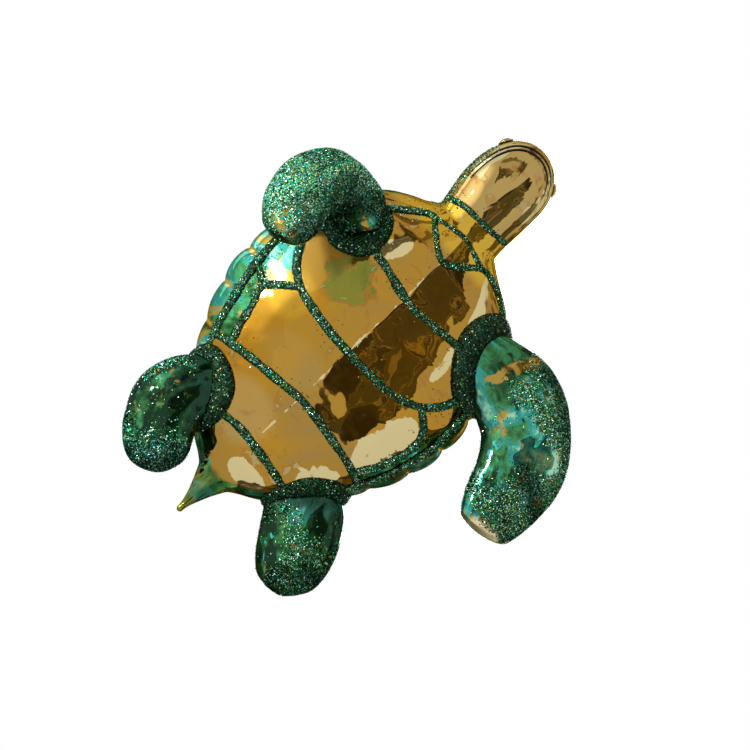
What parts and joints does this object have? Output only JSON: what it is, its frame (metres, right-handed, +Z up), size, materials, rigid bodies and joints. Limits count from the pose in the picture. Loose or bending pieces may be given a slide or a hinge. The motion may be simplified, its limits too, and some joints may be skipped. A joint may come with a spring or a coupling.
{
  "type": "sea turtle christmas ornament",
  "caption": "Hanging blown glass sea turtle with a gold belly, green glittered flippers, raised glitter lines between its scutes, and a capped wire loop on its back.",
  "frame": {"origin": "hang point, at the top of the inside of the wire loop", "axes": "+Z up, with the back up and the belly down; the head points to -Y and the turtle's left is +X"},
  "size_m": [0.1026, 0.1235, 0.0738],
  "materials": {
    "gold_glass": "silvered inside, with a gold and green lacquer",
    "green_glass": "silvered inside, with an emerald and amber lacquer and glitter",
    "glitter": "glue filled with green glitter flakes",
    "brass": "bright"
  },
  "bodies": {
    "hanger": {"spring_wire": "brass"},
    "cap": {"hanger_cap": "brass"},
    "glass": {"glass_body": "gold_glass", "front_left_flipper": "green_glass", "front_right_flipper": "green_glass", "rear_left_flipper": "green_glass", "rear_right_flipper": "green_glass", "front_left_collar": "glitter", "front_right_collar": "glitter", "rear_left_collar": "glitter", "rear_right_collar": "glitter", "carapace_lines": "glitter", "marginal_line_right": "glitter", "marginal_line_left": "glitter", "femoral_line": "glitter", "abdominal_line": "glitter", "pectoral_line": "glitter", "humeral_line": "glitter", "gular_line": "glitter", "neck_line": "glitter", "throat_line": "glitter", "bridge_line_right": "glitter", "bridge_line_left": "glitter", "bridge_tick_right": "glitter"}
  },
  "joints": [
    {"name": "glass_pull", "type": "slide", "parent": "hanger", "child": "glass", "axis": [0, 0, -1], "range_m": [0, 0.022]},
    {"name": "cap_turn", "type": "hinge", "parent": "hanger", "child": "cap", "pos_m": [0, 0, -0.012], "axis": [0, 0, 1], "continuous": true}
  ]
}
